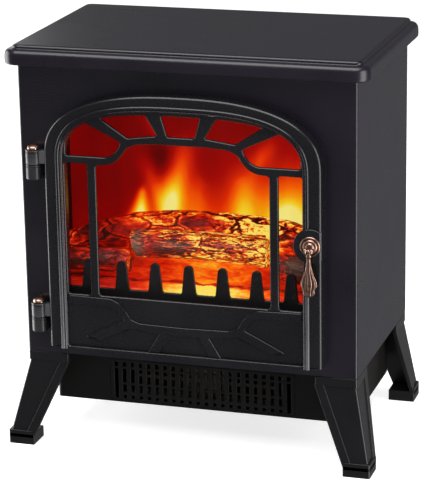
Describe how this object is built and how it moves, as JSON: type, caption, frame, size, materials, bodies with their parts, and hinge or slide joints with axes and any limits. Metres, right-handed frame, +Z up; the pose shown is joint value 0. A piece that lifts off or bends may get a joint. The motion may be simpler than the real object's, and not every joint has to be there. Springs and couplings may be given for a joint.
{
  "type": "electric fireplace",
  "caption": "Stove-shaped electric fireplace heater on splayed legs, with an arched opening door, glowing logs behind it and a warm-air outlet below.",
  "frame": {"origin": "on the floor, centred on the bounding box in width and depth", "axes": "+Z up, +X to the right seen from the front, -Y out of the door"},
  "size_m": [0.43, 0.2894, 0.4685],
  "materials": {
    "satin_black_steel": "satin black powder coat",
    "black_plastic": "moulded, lightly textured",
    "door_black": "satin black",
    "hinge_grey": "satin dark grey",
    "antique_copper": "antique copper plate, worn bright on its edges",
    "clear_pane": "clear",
    "flame_screen": "diffusing screen with moving flame light",
    "log_shell": "bark texture, lit from inside",
    "ember_shell": "glowing embers",
    "firebox_black": "matt black",
    "zinc_plate": "zinc plated",
    "reflector_foil": "bright",
    "dark_moulding": "dark moulding",
    "circuit_board": "solder mask",
    "heater_ceramic": "unglazed"
  },
  "bodies": {
    "cabinet": {"base_pan": "zinc_plate", "blower_housing": "zinc_plate", "cabinet_wrap": "satin_black_steel", "control_panel": "black_plastic", "cord_gland": "black_plastic", "ember_bed": "ember_shell", "fan_motor": "zinc_plate", "firebox_liner": "firebox_black", "flame_screen": "flame_screen", "flicker_motor": "zinc_plate", "flicker_stand": "zinc_plate", "grate_fence": "firebox_black", "heating_element": "heater_ceramic", "hinge_knuckle_lower": "hinge_grey", "hinge_knuckle_upper": "hinge_grey", "led_board_bed": "circuit_board", "led_board_flame": "circuit_board", "leg_front_left": "black_plastic", "leg_front_right": "black_plastic", "leg_rear_left": "black_plastic", "leg_rear_right": "black_plastic", "log_back": "log_shell", "log_front": "log_shell", "log_left": "log_shell", "log_right": "log_shell", "lower_housing": "black_plastic", "magnet_catch": "dark_moulding", "outlet_grille": "black_plastic", "rear_panel": "satin_black_steel", "rear_screw_1": "zinc_plate", "rear_screw_2": "zinc_plate", "rear_screw_3": "zinc_plate", "rear_screw_4": "zinc_plate", "switch_block": "dark_moulding", "terminal_block": "heater_ceramic", "thermal_cutout": "heater_ceramic", "thermostat_body": "dark_moulding", "top_slab": "satin_black_steel"},
    "door": {"door_frame": "door_black", "door_glass": "clear_pane", "hinge_pin_lower": "antique_copper", "hinge_pin_upper": "antique_copper", "handle_rosette": "antique_copper", "magnet_strike": "zinc_plate"},
    "handle": {"handle_drop": "antique_copper"},
    "flicker": {"flicker_rod": "reflector_foil"},
    "fan": {"fan_impeller": "dark_moulding"},
    "thermostat": {"thermostat_knob": "dark_moulding"},
    "switch_flame": {"rocker_flame": "dark_moulding"},
    "switch_low_heat": {"rocker_low_heat": "dark_moulding"},
    "switch_high_heat": {"rocker_high_heat": "dark_moulding"}
  },
  "joints": [
    {"name": "door_hinge", "type": "hinge", "parent": "cabinet", "child": "door", "pos_m": [-0.1753, -0.12183, 0.245], "axis": [0, 0, -1], "range_deg": [0, 110]},
    {"name": "handle_swing", "type": "hinge", "parent": "door", "child": "handle", "pos_m": [0.148, -0.14153, 0.262], "axis": [-1, 0, 0], "range_deg": [-4, 85]},
    {"name": "flicker_spin", "type": "hinge", "parent": "cabinet", "child": "flicker", "pos_m": [0, 0.07018, 0.205], "axis": [1, 0, 0], "continuous": true},
    {"name": "fan_spin", "type": "hinge", "parent": "cabinet", "child": "fan", "pos_m": [0, 0.00417, 0.074], "axis": [1, 0, 0], "continuous": true},
    {"name": "thermostat_turn", "type": "hinge", "parent": "cabinet", "child": "thermostat", "pos_m": [-0.07, 0.13218, 0.163], "axis": [0, 1, 0], "range_deg": [0, 270]},
    {"name": "switch_flame_tilt", "type": "hinge", "parent": "cabinet", "child": "switch_flame", "pos_m": [-0.148, 0.13187, 0.163], "axis": [1, 0, 0], "range_deg": [0, 14]},
    {"name": "switch_low_heat_tilt", "type": "hinge", "parent": "cabinet", "child": "switch_low_heat", "pos_m": [-0.128, 0.13187, 0.163], "axis": [1, 0, 0], "range_deg": [0, 14]},
    {"name": "switch_high_heat_tilt", "type": "hinge", "parent": "cabinet", "child": "switch_high_heat", "pos_m": [-0.108, 0.13187, 0.163], "axis": [1, 0, 0], "range_deg": [0, 14]}
  ]
}
